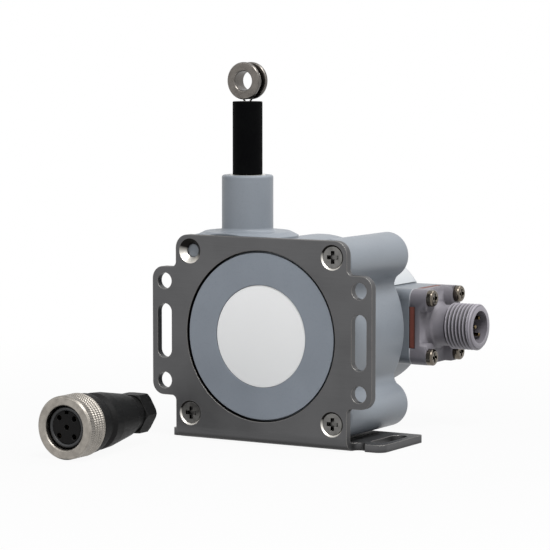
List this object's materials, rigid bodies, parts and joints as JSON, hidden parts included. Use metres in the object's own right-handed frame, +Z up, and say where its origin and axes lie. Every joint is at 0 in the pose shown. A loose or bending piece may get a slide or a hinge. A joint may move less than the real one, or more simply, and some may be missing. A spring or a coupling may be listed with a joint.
{
  "type": "draw wire encoder",
  "caption": "Draw wire encoder: a lobed drum housing on a folded steel bracket, with a sprung measuring wire, a rear encoder cap, a threaded connector and a loose field plug.",
  "frame": {"origin": "underside of the bracket's foot, straight below the drum axis, in the upright plane in which the wire leaves", "axes": "+Z up along the wire, +X toward the threaded connector, +Y toward the rear cap"},
  "size_m": [0.0735, 0.1021, 0.0952],
  "materials": {
    "stainless": "brushed stainless sheet",
    "screw_steel": "nickel plated steel",
    "housing_plastic": "moulded blue-grey plastic",
    "cover_plastic": "moulded blue-grey plastic, slightly darker",
    "connector_plastic": "moulded mid grey plastic",
    "label": "bare white label",
    "black_rubber": "black rubber",
    "gasket_rubber": "reddish brown rubber",
    "bearing_steel": "polished bearing steel",
    "wire_steel": "stranded stainless wire",
    "aluminium": "machined aluminium",
    "spring_steel": "blued spring steel",
    "bush_ceramic": "glazed ceramic",
    "felt": "dense felt",
    "zinc": "plated turned metal",
    "board": "green glass-fibre laminate",
    "black_plastic": "black moulded plastic",
    "ivory_plastic": "ivory moulded plastic",
    "lead": "insulated leads",
    "contact_gold": "gold plated contacts",
    "carrier_plastic": "dark brown moulded plastic",
    "nickel": "nickel plated brass"
  },
  "bodies": {
    "encoder": {"mounting_bracket": "stainless", "bracket_screws": "screw_steel", "main_housing": "housing_plastic", "front_cover": "cover_plastic", "front_cover_seal": "black_rubber", "front_label": "label", "front_bearing": "bearing_steel", "rear_bearing": "bearing_steel", "guide_bush": "bush_ceramic", "wire_wiper": "felt", "power_spring": "spring_steel", "spring_cup": "zinc", "spring_cup_lid": "zinc", "optical_sensor": "black_plastic", "encoder_board": "board", "board_screws": "screw_steel", "board_header": "ivory_plastic", "wire_harness": "lead", "rear_cap": "housing_plastic", "rear_cap_seal": "black_rubber", "rear_cap_screws": "screw_steel", "rear_label": "label", "connector_gasket": "gasket_rubber", "connector_cover": "connector_plastic", "contact_carrier": "carrier_plastic", "contact_pins": "contact_gold", "connector_screws": "nickel"},
    "drum": {"drum_shaft": "bearing_steel", "wire_drum": "aluminium", "wound_wire": "wire_steel", "spring_arbor": "aluminium", "shaft_clips": "spring_steel", "code_disc_hub": "aluminium", "code_disc": "spring_steel"},
    "wire_end": {"free_wire": "wire_steel", "stop_sleeve": "black_rubber", "crimp_ferrule": "zinc", "wire_loop": "wire_steel", "wire_eyelet": "zinc"},
    "plug": {"plug_body": "black_plastic", "plug_insert": "black_plastic", "plug_sockets": "contact_gold", "plug_seal_ring": "black_rubber", "plug_clamp_ring": "black_rubber", "plug_gland_nut": "black_plastic"},
    "plug_nut": {"plug_coupling_nut": "nickel"}
  },
  "joints": [
    {"name": "drum_spin", "type": "hinge", "parent": "encoder", "child": "drum", "pos_m": [0, 0, 0.0272], "axis": [0, 1, 0], "range_deg": [0, 6383], "stiffness_Nm_per_rad": 0.0003, "springref_deg": -8594.37},
    {"name": "wire_pull", "type": "slide", "parent": "encoder", "child": "wire_end", "axis": [0, 0, 1], "range_m": [0, 1.27], "deforming": ["free_wire"]},
    {"name": "plug_lift", "type": "slide", "parent": "encoder", "child": "plug", "axis": [0, 0, 1], "range_m": [0, 0.1]},
    {"name": "plug_nut_spin", "type": "hinge", "parent": "plug", "child": "plug_nut", "pos_m": [-0.028, -0.058, 0.0078], "axis": [0, 1, 0], "continuous": true}
  ],
  "couplings": [
    {"joint": "drum_spin", "follows": "wire_pull", "rad_per_m": 87.719}
  ]
}
